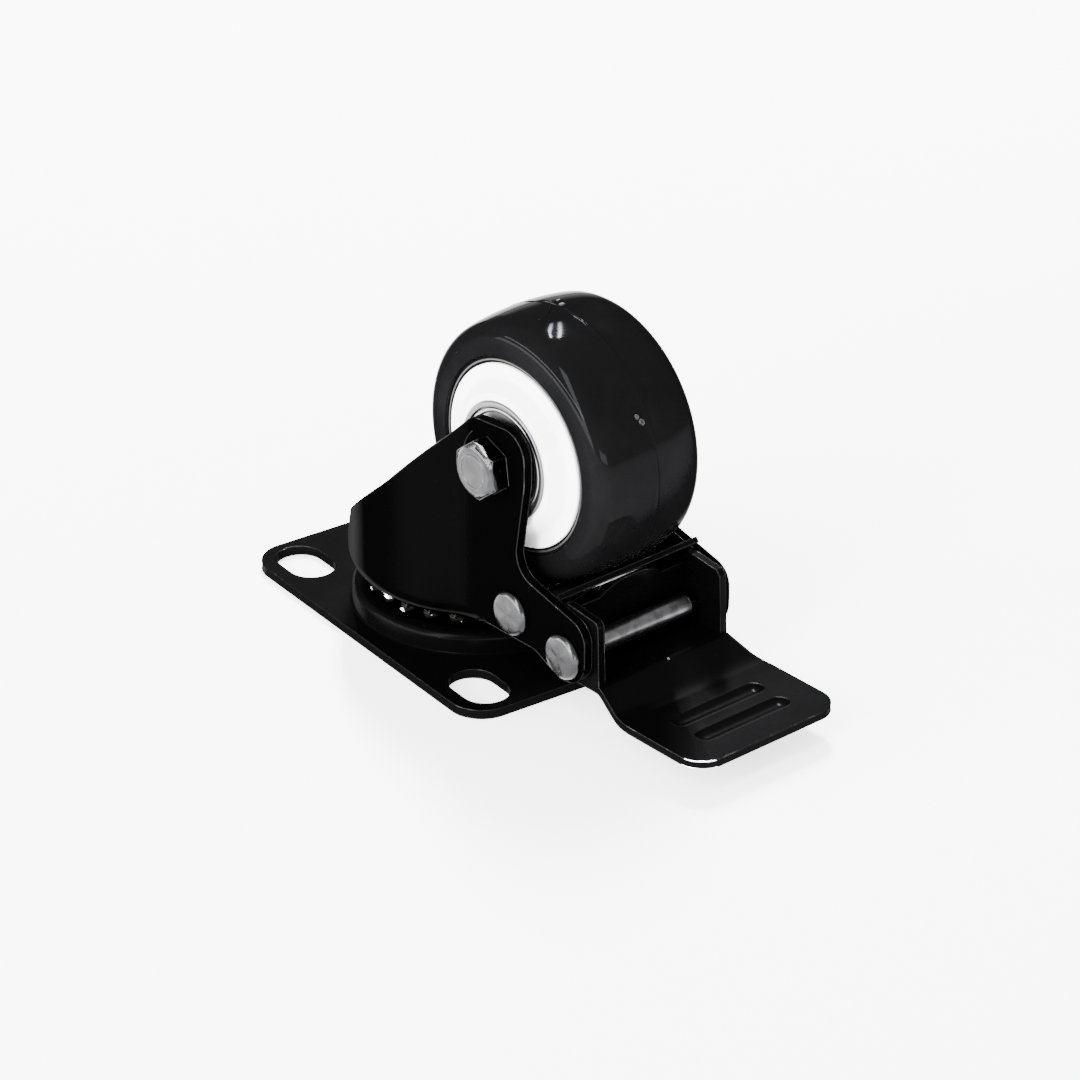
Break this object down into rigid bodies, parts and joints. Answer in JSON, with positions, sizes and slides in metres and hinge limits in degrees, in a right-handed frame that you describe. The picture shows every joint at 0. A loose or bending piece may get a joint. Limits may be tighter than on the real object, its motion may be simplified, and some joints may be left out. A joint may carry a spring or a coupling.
{
  "type": "swivel plate caster with foot brake",
  "caption": "Swivel caster with a slotted mounting plate, double ball-race head, pressed fork, ball-bearing wheel and a foot pedal that pushes a curved brake shoe onto the tread.",
  "frame": {"origin": "where the swivel axis meets the flat mounting face of the plate, at the middle of the slot pattern", "axes": "+Z from the mounting face to the wheel, +X along the plate's long side on the pedal's side, +Y across to the side of the axle nut"},
  "size_m": [0.1168, 0.0542, 0.0685],
  "materials": {
    "black_paint": "gloss black coating on pressed steel",
    "zinc": "bright zinc plating",
    "ball_steel": "ground and polished steel",
    "hub_plastic": "white moulded plastic",
    "tyre": "satin black moulded polyurethane",
    "nylon": "natural nylon"
  },
  "bodies": {
    "plate": {"mounting_plate": "black_paint", "king_pin": "zinc", "race_cap": "black_paint"},
    "swivel_balls": {"lower_balls": "ball_steel", "upper_balls": "ball_steel"},
    "fork": {"fork": "black_paint", "axle_bolt": "zinc", "axle_nut": "zinc", "nut_insert": "nylon", "axle_tube": "zinc", "axle_spacer": "zinc", "axle_washers": "zinc", "bearing_inner_near": "ball_steel", "bearing_inner_far": "ball_steel", "shoe_rivet": "zinc", "pedal_rivet": "zinc", "pedal_sleeve": "zinc"},
    "wheel": {"wheel_hub": "hub_plastic", "tyre": "tyre", "bearing_outer_near": "ball_steel", "bearing_outer_far": "ball_steel", "bearing_shields_near": "ball_steel", "bearing_shields_far": "ball_steel"},
    "wheel_balls": {"bearing_balls_near": "ball_steel", "bearing_balls_far": "ball_steel", "bearing_cage_near": "nylon", "bearing_cage_far": "nylon"},
    "pedal": {"brake_pedal": "black_paint"},
    "shoe": {"brake_shoe": "black_paint"}
  },
  "joints": [
    {"name": "swivel", "type": "hinge", "parent": "plate", "child": "fork", "pos_m": [0, 0, 0.0098], "axis": [0, 0, 1], "continuous": true},
    {"name": "swivel_ball_roll", "type": "hinge", "parent": "plate", "child": "swivel_balls", "pos_m": [0, 0, 0.0098], "axis": [0, 0, 1], "continuous": true},
    {"name": "wheel_spin", "type": "hinge", "parent": "fork", "child": "wheel", "pos_m": [0.02388, 0.00243, 0.0435], "axis": [-0.1011, 0.9949, 0], "continuous": true},
    {"name": "bearing_ball_roll", "type": "hinge", "parent": "fork", "child": "wheel_balls", "pos_m": [0.02388, 0.00243, 0.0435], "axis": [-0.1011, 0.9949, 0], "continuous": true},
    {"name": "pedal_tilt", "type": "hinge", "parent": "fork", "child": "pedal", "pos_m": [0.04367, 0.00444, 0.0137], "axis": [0.1011, -0.9949, 0], "range_deg": [0, 14]},
    {"name": "shoe_swing", "type": "hinge", "parent": "fork", "child": "shoe", "pos_m": [0.02975, 0.00302, 0.0165], "axis": [0.1011, -0.9949, 0], "range_deg": [0, 2]}
  ],
  "couplings": [
    {"joint": "swivel_ball_roll", "follows": "swivel", "ratio": 0.5},
    {"joint": "bearing_ball_roll", "follows": "wheel_spin", "ratio": 0.6306},
    {"joint": "shoe_swing", "follows": "pedal_tilt", "ratio": 0.137}
  ]
}
